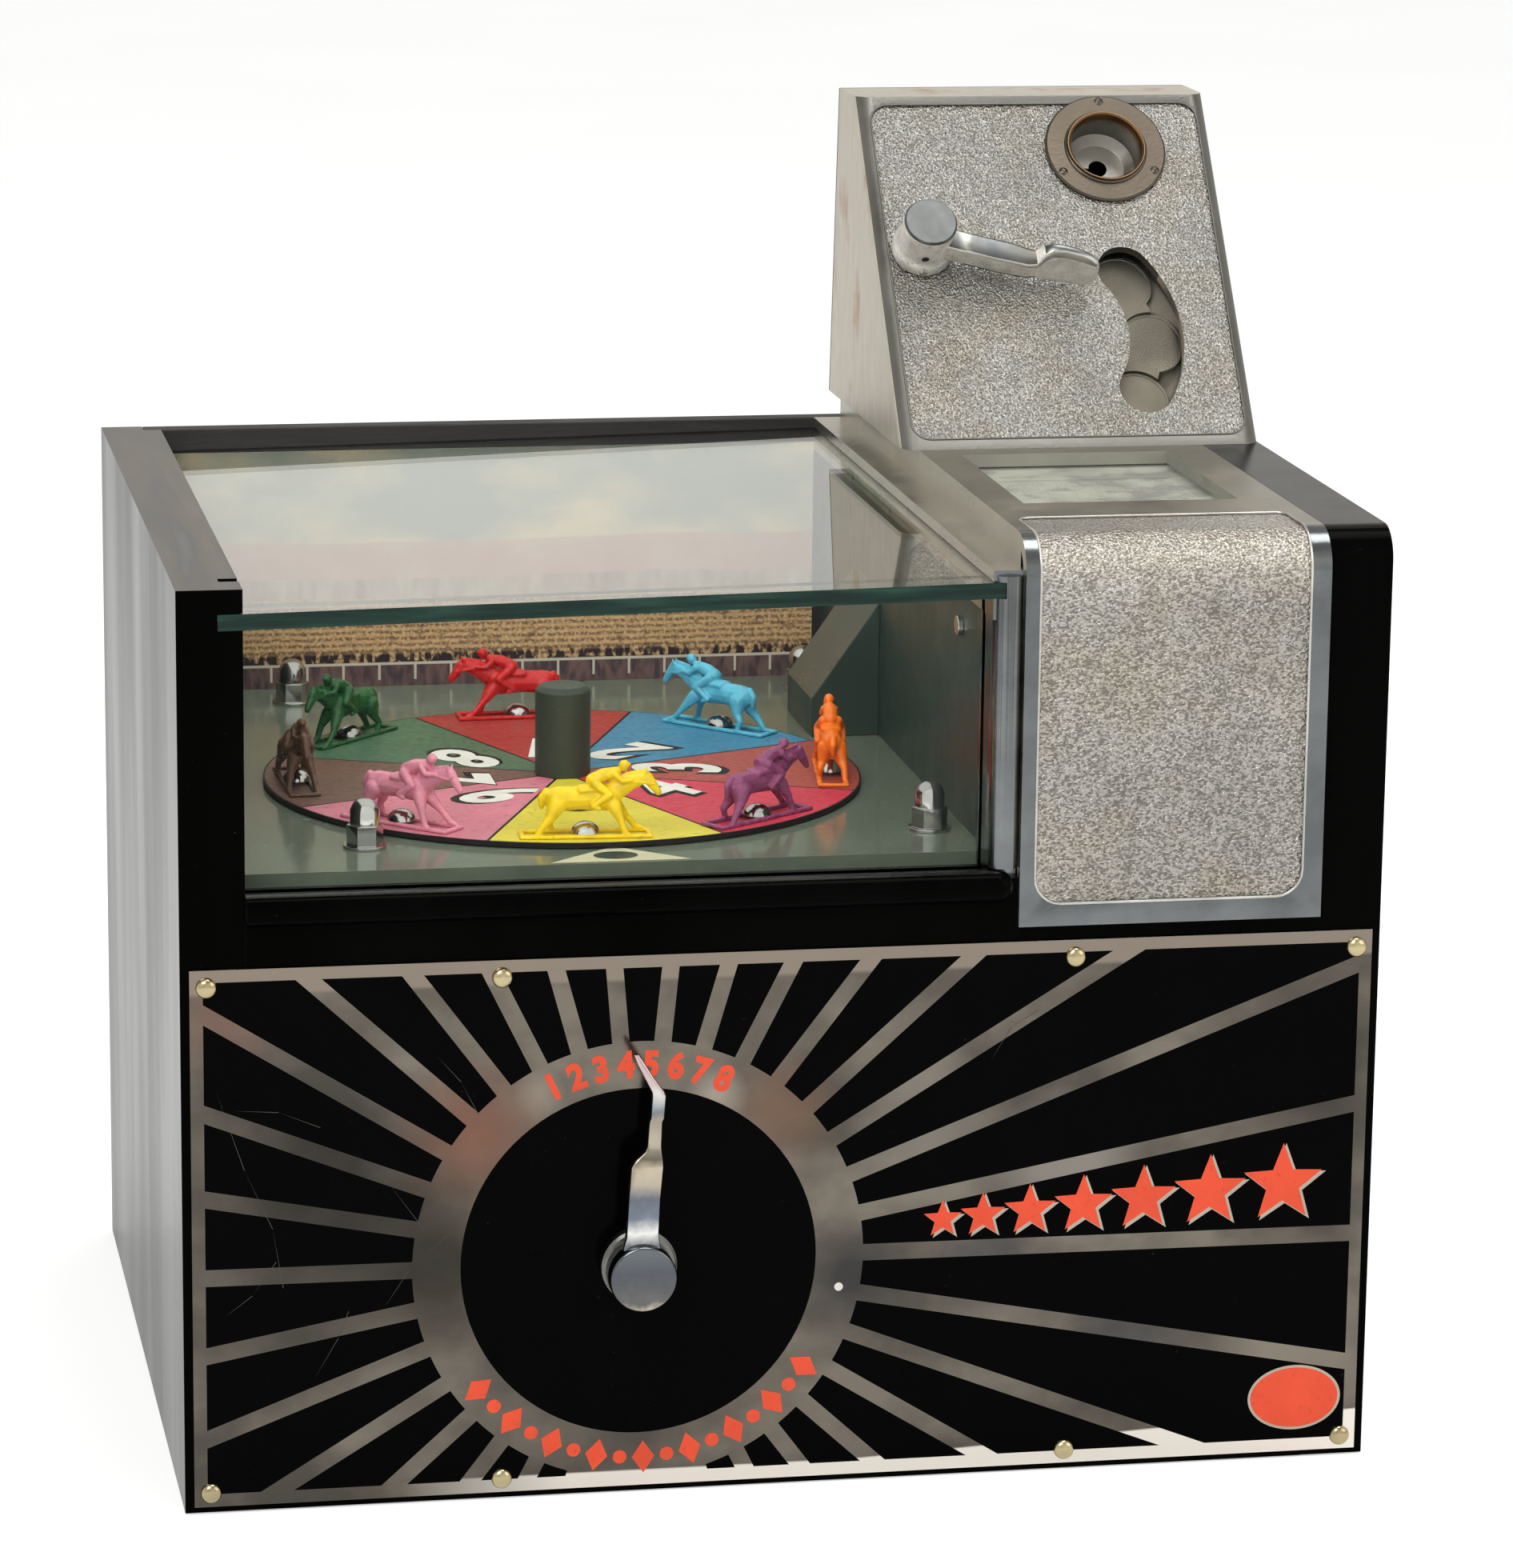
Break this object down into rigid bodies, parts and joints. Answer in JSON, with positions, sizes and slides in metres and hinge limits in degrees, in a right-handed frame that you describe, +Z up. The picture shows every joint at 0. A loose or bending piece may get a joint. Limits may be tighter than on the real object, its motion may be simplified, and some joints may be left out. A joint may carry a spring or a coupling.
{
  "type": "trade stimulator",
  "caption": "Countertop coin machine: black wooden case with a glazed well holding a spinning disc of racing horses, cast metal coin head with a lever, and a plated front with a number pointer.",
  "frame": {"origin": "centre of the cabinet's underside, at table height", "axes": "X to the right seen from the front, Y to the back, Z up"},
  "size_m": [0.356, 0.3011, 0.386],
  "materials": {
    "black_lacquer": "gloss black lacquer over hardwood",
    "inside_wood": "plain wood, stained",
    "deck_paint": "dark green gloss enamel",
    "polished_plate": "polished plate with a black enamelled sunburst",
    "cast_alloy": "cast, stippled ground with polished borders",
    "clear_glass": "clear float glass with green edges",
    "brass_screws": "round head, worn",
    "bright_steel": "turned and plated",
    "dark_steel": "dark oiled sheet steel",
    "bronze": "bronze, brushed",
    "grey_alloy": "spun dish, satin",
    "token_metal": "worn plain tokens",
    "disc_print": "eight painted sectors with plain numbers",
    "horse_paint": "cast figures, each in its own colour",
    "printed_card": "printed card",
    "black_sheet": "black painted sheet"
  },
  "bodies": {
    "cabinet": {"acorn_nuts": "bright_steel", "award_card": "printed_card", "backdrop_card": "printed_card", "base_board": "inside_wood", "bezel_rivets": "bronze", "card_glass": "clear_glass", "card_tray": "dark_steel", "chassis_pillars": "bright_steel", "chassis_plate": "dark_steel", "coin_bezel": "bronze", "coin_box": "dark_steel", "coin_cup": "grey_alloy", "coin_down_chute": "dark_steel", "coin_head": "cast_alloy", "coin_track": "grey_alloy", "corner_guard": "deck_paint", "deck_cleats": "inside_wood", "front_board": "black_lacquer", "front_casting": "cast_alloy", "front_glass": "clear_glass", "front_moulding": "black_lacquer", "head_back_cover": "black_sheet", "hinge_fixed_leaves": "bright_steel", "kidney_glass": "clear_glass", "left_side_panel": "black_lacquer", "liner_screw": "bright_steel", "lock_keeper": "bright_steel", "panel_bushes": "bronze", "plate_screws": "brass_screws", "pointer_bush": "bronze", "right_side_panel": "black_lacquer", "spindle_bearings": "bronze", "sunburst_plate": "polished_plate", "top_glass": "clear_glass", "upper_back_board": "inside_wood", "well_floor": "deck_paint", "well_liner_right": "deck_paint"},
    "carousel": {"carousel_disc": "disc_print", "centre_post": "deck_paint", "spindle": "bright_steel", "horses": "horse_paint", "horse_screws": "bright_steel"},
    "lever": {"play_lever": "cast_alloy", "lever_set_screw": "bright_steel", "lever_shaft": "bright_steel", "lever_crank": "bright_steel"},
    "coin_carrier": {"coin_wheel": "bright_steel", "wheel_shaft": "bright_steel", "coins": "token_metal"},
    "pointer": {"pointer_lever": "cast_alloy", "pointer_set_screw": "bright_steel", "pointer_shaft": "bright_steel", "pointer_retainer": "bright_steel"},
    "door": {"back_door": "inside_wood", "hinge_moving_leaves": "bright_steel", "lock_case": "bright_steel"},
    "lock": {"lock_cam": "bright_steel"}
  },
  "joints": [
    {"name": "carousel_spin", "type": "hinge", "parent": "cabinet", "child": "carousel", "pos_m": [-0.048, -0.012, 0.1895], "axis": [0, 0, 1], "continuous": true},
    {"name": "lever_pull", "type": "hinge", "parent": "cabinet", "child": "lever", "pos_m": [0.076, 0.05243, 0.34046], "axis": [0, 0.7804, -0.6252], "range_deg": [0, 45], "stiffness_Nm_per_rad": 0.15, "springref_deg": -11.46},
    {"name": "coin_wheel_turn", "type": "hinge", "parent": "cabinet", "child": "coin_carrier", "pos_m": [0.1165, 0.04148, 0.31079], "axis": [0, -0.7804, 0.6252], "continuous": true},
    {"name": "pointer_turn", "type": "hinge", "parent": "cabinet", "child": "pointer", "pos_m": [-0.0444, -0.1412, 0.0712], "axis": [0, -1, 0], "range_deg": [-25, 25]},
    {"name": "back_door_hinge", "type": "hinge", "parent": "cabinet", "child": "door", "pos_m": [-0.1647, 0.1426, 0.088], "axis": [0, 0, 1], "range_deg": [0, 110]},
    {"name": "lock_turn", "type": "hinge", "parent": "door", "child": "lock", "pos_m": [0.138, 0.14, 0.088], "axis": [0, 1, 0], "range_deg": [0, 90]}
  ]
}
